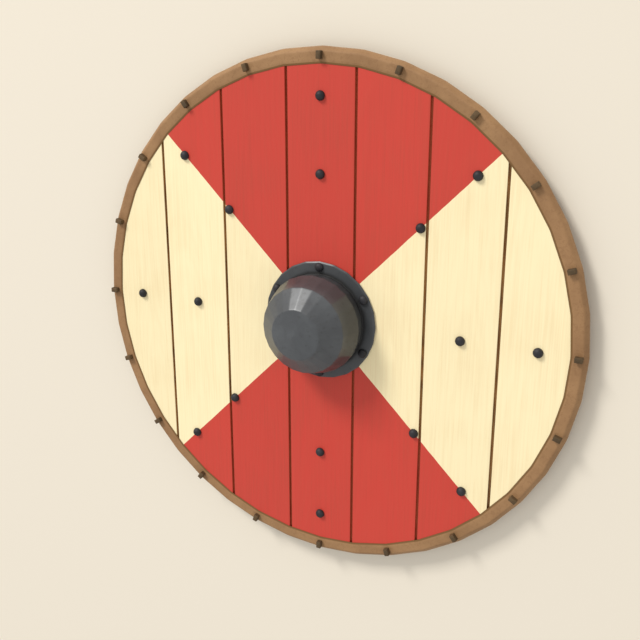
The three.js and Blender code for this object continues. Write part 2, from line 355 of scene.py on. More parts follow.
hideLook = {
    "face": linear(158, 121, 82),
    "deep": linear(124, 89, 55),
    "worn": linear(164, 133, 98),
    # margin: painted shade, standing in for the shade on the edging's inner slope
    "margin": linear(115, 83, 42),
    # cut: partly the hide's own dark burnished edge, partly painted shade where the edging meets the
    # boards
    "cut": linear(98, 68, 32),
    "wornShare": 0.3,
    "cutShare": 0.4,
    "roughness": 0.72,
    "marginWidth": 2.6 * mm,
    "marginFade": 1 * mm,
    "cutWidth": 0.5 * mm,
    "cutFade": 0.8 * mm,
    "noseReach": 5 * mm,  # worn area on each side of the outermost ridge
    "noseDepth": 5.4 * mm,  # and how far in from it the wear starts
    "noseFull": 1.4 * mm,
}


def makeHide():
    material, sheet, place = newMaterial("edging_hide")
    height = sheet.parts(place)[2] - boardBack
    blotches = sheet.grain(place, 16.0, 4, 0.55)
    pebbles = sheet.cells(place, 620.0)
    creases = sheet.grain(place, 210.0, 5, 0.65, 0.8)
    fine = sheet.grain(place, 900.0, 2, 0.5)
    colour = sheet.mix(blotches.between(0.3, 0.72), hideLook["deep"], hideLook["face"])
    colour = sheet.mix(0.55, hideLook["face"], colour)
    outward = sheet.painted("outward")
    outer = edgingSizes["outer"]
    ridge = 1 - abs(height - edgingSizes["ridge"]).between(0.0, hideLook["noseReach"])
    nose = outward.between(outer - hideLook["noseDepth"], outer - hideLook["noseFull"]) * ridge
    worn = (nose * (0.45 + creases * 0.8)).clamped()
    colour = sheet.mix(worn * hideLook["wornShare"], colour, hideLook["worn"])
    colour = sheet.mix((1 - creases.between(0.36, 0.5)) * 0.35, colour, hideLook["deep"])
    innerEdge = outer - edgingSizes["bevel"] - edgingSizes["face"] - edgingSizes["skive"]
    marginEnd = innerEdge + hideLook["marginWidth"]
    # Painted shade: the inner margin is darker, standing in for the shade on the edging's inner slope
    marginShade = 1 - outward.between(marginEnd, marginEnd + hideLook["marginFade"])
    colour = sheet.mix(marginShade, colour, hideLook["margin"])
    # The cut edge is darker: partly the hide's own burnished edge, partly painted shade where the edging
    # meets the boards
    cutEnd = innerEdge + hideLook["cutWidth"]
    cut = 1 - outward.between(cutEnd, cutEnd + hideLook["cutFade"])
    colour = sheet.mix(cut * hideLook["cutShare"], colour, hideLook["cut"])
    rough = hideLook["roughness"] - worn * 0.12 + (fine - 0.5) * 0.15
    bumps = [(creases, 0.45, 0.5 * mm), (pebbles, 0.35, 0.25 * mm), (fine, 0.2, 0.12 * mm)]
    finishMaterial(sheet, colour, rough, 0.0, bumps)
    return material


bossSizes = {
    "flats": 24,
    "perFlat": 9,
    "step": 2.4 * mm,
    "rows": 3,
    "sheet": 2.2 * mm,
    "widest": 82.6 * mm,
    "rise": 70 * mm,
    "wall": 29.4 * mm,
    "neckInset": 4.1 * mm,
    "neckFillet": 1 * mm,
    "flangeWidth": 21.5 * mm,
    "flangeRise": 4.2 * mm,
    "flangeDraft": 1 * mm,
    "flangeBevel": 1.6 * mm,
    "bevelWidth": 2.2 * mm,
    "footGap": 0.09 * mm,  # between the flange's foot and the paint
    "ridge": 3 * mm,  # rounding between the dome's rows
    "softness": 0.1,
    "dent": 0.12 * mm,
    "spread": 60.0,
    "seed": 8.0,
    "press": 0.2 * mm,  # how far a rivet presses the flange in
}

bossLook = {
    "bright": linear(83, 87, 91),
    "dark": linear(73, 76, 80),
    "scale": linear(62, 63, 65),
    "paintedShade": linear(22, 21, 20),  # painted shade, put where the bowl meets its flange and over its lower part
    "neckShadeFrom": 1.5 * mm,
    "neckShadeTo": 8 * mm,
    "shadeFrom": 44 * mm,  # painted shade: the bowl is darker below this height over its flange
    "shadeTo": 62 * mm,
    "shadeShare": 0.29,
    "neckShadeShare": 0.8,
    "metal": 0.2,
    "roughness": 0.365,
    "marks": 40.0,
}
rivetLook = {
    "bright": linear(54, 54, 59),
    "dark": linear(39, 39, 43),
    "scale": linear(30, 30, 32),
    "metal": 0.4,
    "roughness": 0.6,
    "marks": 120.0,
}
studLook = {
    "bright": linear(95, 74, 46),
    "dark": linear(74, 58, 35),
    "scale": linear(54, 41, 26),
    "metal": 0.1,
    "roughness": 0.72,
    "marks": 120.0,
}


def makeIron(name, look):
    material, sheet, place = newMaterial(name)
    cloud = sheet.grain(place, look["marks"] * 0.35, 4, 0.6, 0.4)
    marks = sheet.grain(place, look["marks"] * 2.6, 4, 0.6)
    pits = sheet.cells(place, look["marks"] * 9.0)
    scratch = sheet.grain(sheet.stretched(place, 60, 1400, 300), 1.0, 3, 0.6)
    colour = sheet.mix(cloud.between(0.35, 0.65), look["dark"], look["bright"])
    colour = sheet.mix(marks.between(0.56, 0.7) * 0.5, colour, look["scale"])
    rough = look["roughness"] + (cloud - 0.5) * 0.14 + (marks - 0.5) * 0.12
    if "paintedShade" in look:
        # Painted shade: darker in the crease where the bowl meets its flange, and over the flange and the
        # bowl's lower part
        neck = bossSizes["widest"] - bossSizes["neckInset"]
        level = boardFront + bossSizes["flangeRise"]
        outward = sheet.painted("outward")
        upward = sheet.painted("upward")
        far = ((outward - neck) ** 2 + (upward - level) ** 2) ** 0.5
        paintedShade = 1 - far.between(look["neckShadeFrom"], look["neckShadeTo"])
        lower = 1 - upward.between(level + look["shadeFrom"], level + look["shadeTo"])
        colour = sheet.mix(lower * look["shadeShare"], colour, look["paintedShade"])
        colour = sheet.mix(paintedShade * look["neckShadeShare"], colour, look["paintedShade"])
        rough = rough + paintedShade * 0.3
    bumps = [(marks, 0.16, 0.25 * mm), (pits.between(0.0, 0.22), 0.12, 0.15 * mm)]
    bumps.append((scratch, 0.05, 0.05 * mm))
    finishMaterial(sheet, colour, rough, look["metal"], bumps)
    return material


paint = makePaint()
bareBoard = makeBareWood("bare_board", "Y", bareLook)
barWood = makeBareWood("bar_wood", "X", barLook)
hide = makeHide()
bossIron = makeIron("boss_iron", bossLook)
rivetIron = makeIron("rivet_iron", rivetLook)
studIron = makeIron("stud_iron", studLook)
print("finishes made")


# Mesh helpers

def newObject(name, data):
    piece = bpy.data.objects.new(name, data)
    scene.collection.objects.link(piece)
    return piece


def tidyMesh(mesh):
    # Closes seams and poles, drops loose edges and turns every face outwards
    work = bmesh.new()
    work.from_mesh(mesh)
    bmesh.ops.remove_doubles(work, verts=work.verts, dist=0.002 * mm)
    bmesh.ops.delete(work, geom=[e for e in work.edges if not e.link_faces], context="EDGES")
    bmesh.ops.recalc_face_normals(work, faces=work.faces)
    work.to_mesh(mesh)
    work.free()
    mesh.update()
    return mesh


def solidObject(name, vertices, faces):
    mesh = bpy.data.meshes.new(name)
    mesh.from_pydata(vertices, [], faces)
    return newObject(name, tidyMesh(mesh))


def finishWood(mesh, tag):
    # Smooth faces with crisp arrises, and the number that sets a plank's own grain
    mesh.polygons.foreach_set("use_smooth", [True] * len(mesh.polygons))
    mesh.set_sharp_from_angle(angle=math.radians(40))
    values = mesh.attributes.new("plank", "FLOAT", "POINT").data
    values.foreach_set("value", [tag] * len(values))
    return mesh


def plainMesh(piece):
    # The modifiers' result as the piece's own mesh
    graph = bpy.context.evaluated_depsgraph_get()
    mesh = bpy.data.meshes.new_from_object(piece.evaluated_get(graph))
    piece.modifiers.clear()
    piece.data = tidyMesh(mesh)
    piece.data.name = piece.name
    return piece


def addTree(piece, tree, values):
    modifier = piece.modifiers.new(tree.name, "NODES")
    modifier.node_group = tree
    sockets = [item for item in tree.interface.items_tree if item.in_out == "INPUT"]
    names = {socket.name: socket.identifier for socket in sockets}
    for name, value in values.items():
        modifier[names[name]] = value


def newTree(name, inputs):
    tree = bpy.data.node_groups.new(name, "GeometryNodeTree")
    tree.is_modifier = True
    tree.interface.new_socket("Geometry", in_out="INPUT", socket_type="NodeSocketGeometry")
    tree.interface.new_socket("Geometry", in_out="OUTPUT", socket_type="NodeSocketGeometry")
    for label, kind in inputs.items():
        tree.interface.new_socket(label, in_out="INPUT", socket_type="NodeSocket" + kind)
    sheet = Sheet(tree)
    start = tree.nodes.new("NodeGroupInput")
    given = {socket.name: Wire(sheet, socket) for socket in start.outputs if socket.name}
    return tree, sheet, given


def endTree(sheet, geometry, given):
    whole = sheet.add("GeometryNodeRealizeInstances", {}, {"Geometry": geometry})
    smooth = sheet.add("GeometryNodeSetShadeSmooth", {}, {0: whole, "Shade Smooth": True})
    links = {"Geometry": smooth, "Material": given["Material"]}
    dressed = sheet.add("GeometryNodeSetMaterial", {}, links)
    sheet.add("NodeGroupOutput", {}, {"Geometry": dressed})


def relief(sheet, geometry, given):
    # Sinks the surface by up to Dent, in soft hollows about 1 / Spread across
    closeShare = 0.35
    amount = given["Dent"]
    spread = given["Spread"]
    seed = given["Seed"]
    settings = {"noise_dimensions": "4D"}
    links = {"W": seed, "Scale": spread, "Detail": 1.0}
    wide = sheet.add("ShaderNodeTexNoise", settings, links)
    links = {"W": seed, "Scale": spread * 3.1, "Detail": 2.0}
    close = sheet.add("ShaderNodeTexNoise", settings, links)
    return sheet.pushed(geometry, (wide * (1 - closeShare) + close * closeShare) * amount * -1)


def makeTurnedTree():
    # Turns a profile about Z with flats round it, as a smith or a carver leaves them
    inputs = dict.fromkeys(("Flats", "Softness", "Dent", "Spread", "Seed", "Press"), "Float")
    inputs.update({"Profile": "Object", "Presses": "Object", "Columns": "Int", "Material": "Material"})
    tree, sheet, given = newTree("turned_with_flats", inputs)
    profile = sheet.shapeOf(given["Profile"])
    x, z = sheet.parts(sheet.add("GeometryNodeInputPosition"))[::2]
    profile = sheet.stored(profile, "outward", x)
    profile = sheet.stored(profile, "upward", z)
    line = sheet.add("GeometryNodeCurvePrimitiveLine", {}, {"Start": (0, 0, 0), "End": (0, 0, 1)})
    line = sheet.add("GeometryNodeResampleCurve", {}, {"Curve": line, "Count": given["Columns"]})
    along = sheet.add("GeometryNodeSplineParameter", {}, {}, "Factor")
    line = sheet.stored(line, "around", along)
    skin = sheet.add("GeometryNodeCurveToMesh", {}, {"Curve": line, "Profile Curve": profile})
    outward = sheet.named("outward")
    upward = sheet.named("upward")
    angle = sheet.named("around") * math.tau
    flat = math.tau / given["Flats"]
    offMiddle = abs(angle % flat - flat / 2)
    cornerIn = sheet.maths("COSINE", flat / 2)
    polygon = cornerIn / sheet.maths("COSINE", offMiddle)
    lost = (1 - cornerIn) * given["Softness"]
    soft = sheet.maths("SMOOTH_MIN", polygon, 1 - lost, lost)
    radius = outward * soft
    east = radius * sheet.maths("COSINE", angle)
    north = radius * sheet.maths("SINE", angle)
    spot = sheet.vector(east, north, upward)
    body = sheet.add("GeometryNodeSetPosition", {}, {"Geometry": skin, "Position": spot})
    body = sheet.add("GeometryNodeMergeByDistance", {}, {"Geometry": body, "Distance": 0.001 * mm})
    body = sheet.add("GeometryNodeRemoveAttribute", {}, {"Geometry": body, "Name": "around"})
    # Things hammered down on the surface press it in around them
    pressedTo = 4 * mm
    pressEnd = 14 * mm
    spots = sheet.shapeOf(given["Presses"])
    near = sheet.add("GeometryNodeProximity", {"target_element": "POINTS"}, {0: spots}, "Distance")
    body = sheet.pushed(body, (1 - near.between(pressedTo, pressEnd)) * given["Press"] * -1)
    endTree(sheet, relief(sheet, body, given), given)
    return tree


def makeFasteningTree():
    # A head on each point of the piece's own mesh, and what holds it behind, "drop" lower down
    inputs = dict.fromkeys(("Spin", "Dent", "Spread"), "Float")
    inputs.update({"Head": "Object", "Back": "Object", "Seed": "Int", "Material": "Material"})
    tree, sheet, given = newTree("fastenings", inputs)
    points = sheet.add("GeometryNodeMeshToPoints", {}, {"Mesh": given["Geometry"]})
    turn = sheet.named("turn")
    drop = sheet.named("drop")
    chance = {2: -1.0, 3: 1.0, "Seed": given["Seed"]}
    spin = sheet.add("FunctionNodeRandomValue", {"data_type": "FLOAT"}, chance, 1)
    rotation = sheet.vector(0.0, 0.0, turn + spin * given["Spin"])
    links = {"Geometry": points, "Offset": sheet.vector(0.0, 0.0, drop * -1)}
    lowered = sheet.add("GeometryNodeSetPosition", {}, links)
    joined = sheet.tree.nodes.new("GeometryNodeJoinGeometry")
    for label, where in (("Head", points), ("Back", lowered)):
        links = {"Points": where, "Instance": sheet.shapeOf(given[label]), "Rotation": rotation}
        copies = sheet.add("GeometryNodeInstanceOnPoints", {}, links)
        sheet.tree.links.new(copies.socket, joined.inputs[0])
    whole = sheet.add("GeometryNodeRealizeInstances", {}, {"Geometry": Wire(sheet, joined.outputs[0])})
    endTree(sheet, relief(sheet, whole, given), given)
    return tree


turnedTree = makeTurnedTree()
fasteningTree = makeFasteningTree()


def roundedLoop(corners, step):
    # A closed outline from (across, up, rounding) corners, with arcs at the corners and no gap over step
    outline = []
    count = len(corners)
    for i, (across, up, rounding) in enumerate(corners):
        here = Vector((across, up))
        before = Vector(corners[i - 1][:2]) - here
        after = Vector(corners[(i + 1) % count][:2]) - here
        bend = math.pi - before.angle(after)
        if rounding == 0 or bend < 0.01:
            outline.append(here)
            continue
        reach = min(rounding * math.tan(bend / 2), before.length * 0.45, after.length * 0.45)
        first = here + before.normalized() * reach
        last = here + after.normalized() * reach
        pieces = max(2, math.ceil(math.degrees(bend) / 15))
        for k in range(pieces + 1):  # a quadratic curve through the corner's two ends
            t = k / pieces
            outline.append(first * (1 - t) ** 2 + here * 2 * t * (1 - t) + last * t ** 2)
    filled = []
    for i, here in enumerate(outline):
        onward = outline[(i + 1) % len(outline)] - here
        cuts = max(1, math.ceil(onward.length / step))
        filled.extend(here + onward * (k / cuts) for k in range(cuts))
    return filled


def profileCurve(name, outline):
    # Clockwise, so that the turned skin faces outwards
    onward = outline[1:] + outline[:1]
    if sum(here.cross(after) for here, after in zip(outline, onward)) > 0:
        outline = outline[::-1]
    data = bpy.data.curves.new(name, "CURVE")
    data.dimensions = "3D"
    spline = data.splines.new("POLY")
    spline.points.add(len(outline) - 1)
    for point, spot in zip(spline.points, outline):
        point.co = (spot.x, 0.0, spot.y, 1.0)
    spline.use_cyclic_u = True
    return newObject(name, data)


def dropObject(piece):
    bpy.data.objects.remove(piece)


def settle(piece, nodes):
    # Rides on the shield's one body and stands for its solids
    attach(piece, "root")
    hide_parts(*nodes)
    print(piece.name, len(piece.data.polygons), "faces")


# Planks

plankSizes = {
    "jointWidth": 4.4 * mm,
    "lapWidth": 5 * mm,
    "lipHeight": 7 * mm,
    "gap": 0.3 * mm,
    "easing": 0.9 * mm,  # rounding of the painted arrises
    "arris": 0.6 * mm,  # bevel of the hidden ones
    "across": 5 * mm,  # mesh step across a plank
    "along": 6 * mm,
    "waves": 0.35 * mm,  # depth of the hand plane's marks
    "boardsRadius": 426.5 * mm,
    "handHoleRadius": 70 * mm,
    "flats": 40,
    "centreRows": 60,  # mesh rows in each half of the centre plank
    "holeRows": 24,  # closer rows each way from the hand hole's middle
    "holeStep": 1.5 * mm,
}


def rimY(x):
    # The boards' edge, made of flats, at x from the middle
    sizes = plankSizes
    flat = math.tau / sizes["flats"]
    apothem = sizes["boardsRadius"] * math.cos(flat / 2)
    reach = sizes["boardsRadius"]
    for k in range(sizes["flats"] // 4):
        middle = flat * (k + 0.5)
        reach = min(reach, (apothem - x * math.cos(middle)) / math.sin(middle))
    return max(reach, 0.0)


def holeEdge(value):
    inside = plankSizes["handHoleRadius"] ** 2 - value ** 2
    return math.sqrt(inside) if inside > 0 else 0.0


def spread(start, end, step):
    count = max(1, math.ceil((end - start) / step))
    return [start + (end - start) * k / count for k in range(count)]


def plankStations(inner, outer, innerLip, outerLip):
    # (x, top, bottom, painted) across a plank, from its inner side to its outer side.
    # A lip is the "upper" or the "lower" half of a lapped joint, and None means no joint.
    sizes = plankSizes
    half = sizes["jointWidth"] / 2
    lipTop = boardBack + sizes["lipHeight"]
    easing = sizes["easing"]
    start = inner + half
    end = outer - half if outerLip else outer
    underneath = inner + sizes["lapWidth"] + sizes["gap"]

    def bottomAt(x):
        return lipTop + sizes["gap"] if innerLip == "upper" and x < underneath else boardBack

    def eased(distance):
        if distance >= easing:
            return 0.0
        return easing - math.sqrt(max(0.0, easing ** 2 - (easing - distance) ** 2))

    places = [start + easing * k for k in (0.0, 0.1, 0.3, 0.6, 1.0)]
    places += spread(start + easing * 1.8, end - easing, sizes["across"])
    places += [end - easing * k for k in (1.0, 0.6, 0.3, 0.1, 0.0)] if outerLip else [end]
    stations = []
    for x in places:
        drop = eased(x - start) + (eased(end - x) if outerLip else 0.0)
        stations.append((x, boardFront - drop, bottomAt(x), drop < easing * 0.6))
    arris = sizes["arris"]
    if innerLip == "upper":
        stations = [s for s in stations if not underneath <= s[0] <= underneath + arris]
        at = next(i for i, station in enumerate(stations) if station[0] > underneath)
        stations[at:at] = [(underneath, boardFront, lipTop + sizes["gap"], True),
                           (underneath, boardFront, boardBack + arris, True),
                           (underneath + arris, boardFront, boardBack, True)]
    if outerLip == "lower":
        lipEnd = outer + sizes["lapWidth"]
        stations += [(end, lipTop, boardBack, False), (lipEnd - arris, lipTop, boardBack, False),
                     (lipEnd, lipTop, boardBack + arris, False)]
    return stations


def planeWave(x, y, tag):
    # Long shallow hollows left by a hand plane, 0 to 1
    broad = noise.noise(Vector((x * 26, y * 5, tag * 9.1)))
    close = noise.noise(Vector((x * 75, y * 16, tag * 9.1 + 4)))
    return min(1.0, max(0.0, 0.5 + broad * 0.75 + close * 0.3))


def plankMesh(name, stations, rows, spot, tag):
    # spot(x, t) is the (x, y) of a station at row t; top and bottom sheets share their stations
    sizes = plankSizes
    wide = len(stations)
    upper = []
    lower = []
    for t in rows:
        for x, top, bottom, painted in stations:
            placeX, placeY = spot(x, t)
            dip = planeWave(placeX, placeY, tag) * sizes["waves"] if painted else 0.0
            upper.append((placeX, placeY, top - dip))
            rise = planeWave(placeX, placeY, tag + 5) * sizes["waves"] * 0.7
            lower.append((placeX, placeY, bottom + (rise if bottom == boardBack else 0.0)))
    below = len(upper)
    faces = []
    paints = []

    def face(painted, *corners):
        faces.append(corners)
        paints.append(0 if painted else 1)

    for j in range(len(rows) - 1):
        for i in range(wide - 1):
            a = j * wide + i
            face(stations[i][3] and stations[i + 1][3], a, a + 1, a + wide + 1, a + wide)
            face(False, below + a, below + a + wide, below + a + wide + 1, below + a + 1)
        for i in (0, wide - 1):  # the long sides
            a = j * wide + i
            face(False, a, a + wide, below + a + wide, below + a)
    for j in (0, len(rows) - 1):  # the ends
        for i in range(wide - 1):
            a = j * wide + i
            face(False, a, a + 1, below + a + 1, below + a)
    mesh = bpy.data.meshes.new(name)
    mesh.from_pydata(upper + lower, [], faces)
    mesh.materials.append(paint)
    mesh.materials.append(bareBoard)
    mesh.polygons.foreach_set("material_index", paints)
    return newObject(name, finishWood(tidyMesh(mesh), tag))


def rowsBetween(count, extra=()):
    return sorted({round(k / count, 6) for k in range(count + 1)} | set(extra))


def buildCentrePlanks():
    stations = plankStations(0.0, plankPitch / 2, None, "lower")
    # The plank goes on through its own middle, with no eased edge there
    right = [station for station in stations if station[0] > plankSizes["jointWidth"]]
    left = [(-x, top, bottom, painted) for x, top, bottom, painted in reversed(right)]
    stations = left + [(0.0, boardFront, boardBack, True)] + right
    rows = rowsBetween(plankSizes["centreRows"])
    for side, label, tag in ((1, "upper", 0.13), (-1, "lower", 0.57)):
        def spot(x, t, side=side):
            low = holeEdge(x)
            return x, side * (low + (rimY(abs(x)) - low) * t)
        piece = plankMesh("painted_plank_centre_" + label, stations, rows, spot, tag)
        settle(piece, ["plank_centre_" + label])


def buildSidePlanks():
    sizes = plankSizes
    tags = {"inner": (0.82, 0.29), "middle": (0.41, 0.95), "outer": (0.67, 0.08)}
    hole = sizes["handHoleRadius"]
    for step, label in enumerate(tags, start=1):
        inner = plankPitch * (step - 0.5)
        last = label == "outer"
        outer = sizes["boardsRadius"] if last else inner + plankPitch
        stations = plankStations(inner, outer, "upper", None if last else "lower")
        longest = rimY(inner)
        extra = []
        if label == "inner":  # closer rows where the hand hole nips the plank
            reach = range(-sizes["holeRows"], sizes["holeRows"] + 1)
            extra = [0.5 + k * sizes["holeStep"] / (2 * longest) for k in reach]
        rows = rowsBetween(2 * round(longest / sizes["along"]), extra)
        for side, word in ((1, "right"), (-1, "left")):
            def spot(x, t, side=side):
                y = rimY(x) * (2 * t - 1)
                if x < hole and abs(y) < hole:
                    x = max(x, holeEdge(y))
                return side * x, y
            name = label + "_" + word
            tag = tags[label][0 if side > 0 else 1]
            piece = plankMesh("painted_plank_" + name, stations, rows, spot, tag)
            settle(piece, ["plank_" + name])


buildCentrePlanks()
buildSidePlanks()
print("planks built")


# Hide edging

def nodePlaces(prefix):
    names = sorted(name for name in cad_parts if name.startswith(prefix))
    return names, [(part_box(name)[0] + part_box(name)[1]) / 2 for name in names]


def pointsObject(name, places, attributes):
    mesh = bpy.data.meshes.new(name)
    mesh.from_pydata([tuple(place) for place in places], [], [])
    for label, values in attributes.items():
        mesh.attributes.new(label, "FLOAT", "POINT").data.foreach_set("value", values)
    return newObject(name, mesh)


def turnPiece(name, corners, sizes, fastenings, seatLevel, material):
    # Turns a section, pressed in where its fastenings sit
    profile = profileCurve(name + "_profile", roundedLoop(corners, sizes["step"]))
    seats = [Vector((place.x, place.y, seatLevel)) for place in nodePlaces(fastenings)[1]]
    presses = pointsObject(name + "_seats", seats, {})
    piece = newObject(name, bpy.data.meshes.new(name))
    addTree(piece, turnedTree, {
        "Profile": profile, "Flats": float(sizes["flats"]),
        "Columns": sizes["flats"] * sizes["perFlat"] + 1, "Softness": sizes["softness"],
        "Dent": sizes["dent"], "Spread": sizes["spread"], "Seed": sizes["seed"],
        "Press": sizes["press"], "Presses": presses, "Material": material})
    plainMesh(piece)
    dropObject(profile)
    dropObject(presses)
    return piece


def buildEdging():
    sizes = edgingSizes
    outer = sizes["outer"]
    face = outer - sizes["bevel"]
    inner = face - sizes["face"]
    margin = inner - sizes["skive"]
    channel = outer - sizes["nose"] + sizes["gap"]
    top = boardFront + sizes["wall"]
    under = boardBack - sizes["wall"]
    front = boardFront + sizes["seat"]
    back = boardBack - sizes["seat"]
    corners = [
        (margin, front, 0.0), (margin, front + sizes["cutEdge"], 0.3 * mm), (inner, top, 1.6 * mm),
        (face, top, 5 * mm), (outer, boardBack + sizes["ridge"], 2 * mm), (face, under, 1.6 * mm),
        (inner, under, 1.6 * mm), (margin, back - sizes["cutEdge"], 0.3 * mm), (margin, back, 0.0),
        (channel, back, 0.0), (channel, front, 0.0)]
    piece = turnPiece("hide_edging", corners, sizes, "rim_stud_", top, hide)
    settle(piece, ["edging"])


buildEdging()


# Boss

def domeCorners(inset):
    sizes = bossSizes
    corners = []
    for row in range(sizes["rows"]):
        angle = math.pi / 2 * row / sizes["rows"]
        across = (sizes["widest"] - inset) * math.cos(angle)
        up = sizes["wall"] + (sizes["rise"] - inset) * math.sin(angle)
        corners.append((across, up, sizes["ridge"]))
    corners.append((0.0, sizes["wall"] + sizes["rise"] - inset, 0.0))
    return corners


def buildBoss():
    sizes = bossSizes
    thick = sizes["sheet"]
    neck = sizes["widest"] - sizes["neckInset"]
    flange = neck + sizes["flangeWidth"]
    foot = flange - sizes["flangeDraft"]
    rise = sizes["flangeRise"]
    under = rise - thick
    bend = neck + sizes["neckFillet"]
    neckTop = rise + sizes["neckFillet"]
    corners = [
        (foot, sizes["footGap"], 0.5 * mm), (flange, rise - sizes["flangeBevel"], 0.2 * mm),
        (flange - sizes["bevelWidth"], rise, 0.2 * mm), (bend, rise, 0.5 * mm), (neck, neckTop, 0.5 * mm),
        *domeCorners(0.0), *reversed(domeCorners(thick)),
        (neck - thick, neckTop, 2 * mm), (bend - thick, under, 0.5 * mm),
        (flange - thick, under, 0.6 * mm), (foot - thick, sizes["footGap"], 0.5 * mm)]
    raised = [(across, boardFront + up, rounding) for across, up, rounding in corners]
    piece = turnPiece("boss_bowl", raised, sizes, "boss_rivet_", boardFront + rise, bossIron)
    settle(piece, ["boss"])


buildBoss()
print("edging and boss built")


# Rivets and studs

rivetSizes = {
    "headRadius": 8.1 * mm,
    "headHeight": 7.8 * mm,
    "bossHeadRadius": 7.8 * mm,
    "bossHeadHeight": 6.4 * mm,
    "roveRadius": 8 * mm,
    "bossRoveRadius": 6.5 * mm,
    "roveThickness": 2 * mm,
    "seatLift": 0.05 * mm,
    "sink": 0.3 * mm,  # a head starts this far down in the pressed surface
    "dent": 0.28 * mm,
    "spread": 230.0,
    "sides": 28,
    "seeds": (5, 11),
}
studSizes = {
    "length": 12.5 * mm,
    "width": 8.2 * mm,
    "height": 8.4 * mm,
    "crown": 0.7 * mm,  # the hammered top falls off this much to its edges
    "edge": 0.9 * mm,
    "plate": 10 * mm,
    "plateThickness": 2 * mm,
    "plateEdge": 0.5 * mm,
    "sink": 0.8 * mm,
    "step": 1.5 * mm,  # edges longer than this are cut up
    "spin": 0.03,  # how far a stud may be turned out of line
    "dent": 0.3 * mm,
    "spread": 160.0,
    "seed": 17,
}


def turnedMesh(name, outline, sides):
    # A small solid from an open outline of (radius, height), both ends on the axis
    vertices = []
    faces = []
    for k in range(sides):
        angle = math.tau * k / sides
        vertices += [(r * math.cos(angle), r * math.sin(angle), h) for r, h in outline]
    high = len(outline)
    for k in range(sides):
        for i in range(high - 1):
            a, b = k * high + i, (k + 1) % sides * high + i
            faces.append((a, b, b + 1, a + 1))
    return solidObject(name, vertices, faces)


def headShape(name, radius, height):
    low = -rivetSizes["sink"]
    outline = [(0.0, low), (radius * 0.5, low), (radius * 0.94, low), (radius * 0.985, radius * 0.04)]
    for k in range(1, 10):
        angle = math.pi / 2 * k / 9
        outline.append((radius * math.cos(angle) ** 0.9, height * (0.06 + 0.94 * math.sin(angle) ** 1.05)))
    outline[-1] = (0.0, height)
    return turnedMesh(name, outline, rivetSizes["sides"])


def roveShape(name, radius):
    # A round plate with the shank's end hammered over in a low burr, top face at height 0
    thickness = rivetSizes["roveThickness"]
    low = -thickness
    burr = radius * 0.42
    outline = [(0.0, 0.0), (radius * 0.92, 0.0), (radius, -thickness * 0.2),
               (radius, low + thickness * 0.35), (radius * 0.93, low + thickness * 0.22),
               (burr * 1.15, low + thickness * 0.22), (burr, low + thickness * 0.1),
               (burr * 0.6, low), (0.0, low)]
    return turnedMesh(name, outline, rivetSizes["sides"])


def blockMesh(name, length, width, low, high, edge, crown):
    # A closed block with rounded edges, fine enough to take hammer marks
    work = bmesh.new()
    bmesh.ops.create_cube(work, size=1.0)
    for vert in work.verts:
        vert.co = Vector((vert.co.x * length, vert.co.y * width, low + (vert.co.z + 0.5) * (high - low)))
    bmesh.ops.bevel(work, geom=work.edges[:], offset=edge, segments=3, profile=0.5, affect="EDGES")
    longEdges = [e for e in work.edges if e.calc_length() > studSizes["step"]]
    bmesh.ops.subdivide_edges(work, edges=longEdges, cuts=5, use_grid_fill=True)
    bmesh.ops.triangulate(work, faces=[f for f in work.faces if len(f.verts) > 4])
    for vert in work.verts:
        lift = (vert.co.z - low) / (high - low)
        off = (2 * vert.co.x / length) ** 2 + (2 * vert.co.y / width) ** 2
        vert.co.z -= crown * lift ** 4 * min(1.0, off)
    mesh = bpy.data.meshes.new(name)
    work.to_mesh(mesh)
    work.free()
    return newObject(name, tidyMesh(mesh))


def fasten(name, names, places, shapes, values):
    # places holds (seat point, turn, drop) for each node
    seats, turns, drops = zip(*places)
    piece = pointsObject(name, seats, {"turn": turns, "drop": drops})
    addTree(piece, fasteningTree, {"Head": shapes[0], "Back": shapes[1], **values})
    plainMesh(piece)
    for shape in shapes:
        dropObject(shape)
    settle(piece, names)


def buildRivets():
    sizes = rivetSizes
    iron = {"Dent": sizes["dent"], "Spread": sizes["spread"], "Spin": math.pi, "Material": rivetIron}
    board = (sizes["headRadius"], sizes["headHeight"], sizes["roveRadius"], boardFront)
    boss = (sizes["bossHeadRadius"], sizes["bossHeadHeight"], sizes["bossRoveRadius"],
            boardFront + bossSizes["flangeRise"])
    for kind, given, seed in zip(("board_rivet", "boss_rivet"), (board, boss), sizes["seeds"]):
        radius, height, rove, level = given
        seat = level + sizes["seatLift"]
        names, centres = nodePlaces(kind + "_")
        places = []
        for node, centre in zip(names, centres):
            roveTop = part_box(node)[0].z + sizes["roveThickness"]
            places.append((Vector((centre.x, centre.y, seat)), 0.0, seat - roveTop))
        name = kind + "s"
        shapes = [headShape(name + "_head", radius, height), roveShape(name + "_rove", rove)]
        fasten(name, names, places, shapes, {**iron, "Seed": seed})


def buildStuds():
    sizes = studSizes
    names, centres = nodePlaces("rim_stud_")
    seat = boardFront + edgingSizes["wall"]
    places = []
    for node, centre in zip(names, centres):
        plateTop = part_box(node)[0].z + sizes["plateThickness"]
        turn = math.atan2(centre.y, centre.x)
        places.append((Vector((centre.x, centre.y, seat)), turn, seat - plateTop))
    head = blockMesh("stud_head", sizes["length"], sizes["width"], -sizes["sink"], sizes["height"],
                     sizes["edge"], sizes["crown"])
    plate = blockMesh("stud_plate", sizes["plate"], sizes["plate"], -sizes["plateThickness"], 0.0,
                      sizes["plateEdge"], 0.0)
    fasten("rim_studs", names, places, [head, plate], {
        "Dent": sizes["dent"], "Spread": sizes["spread"], "Spin": sizes["spin"],
        "Seed": sizes["seed"], "Material": studIron})


buildRivets()
buildStuds()
print("rivets and studs built")


# Grip and battens

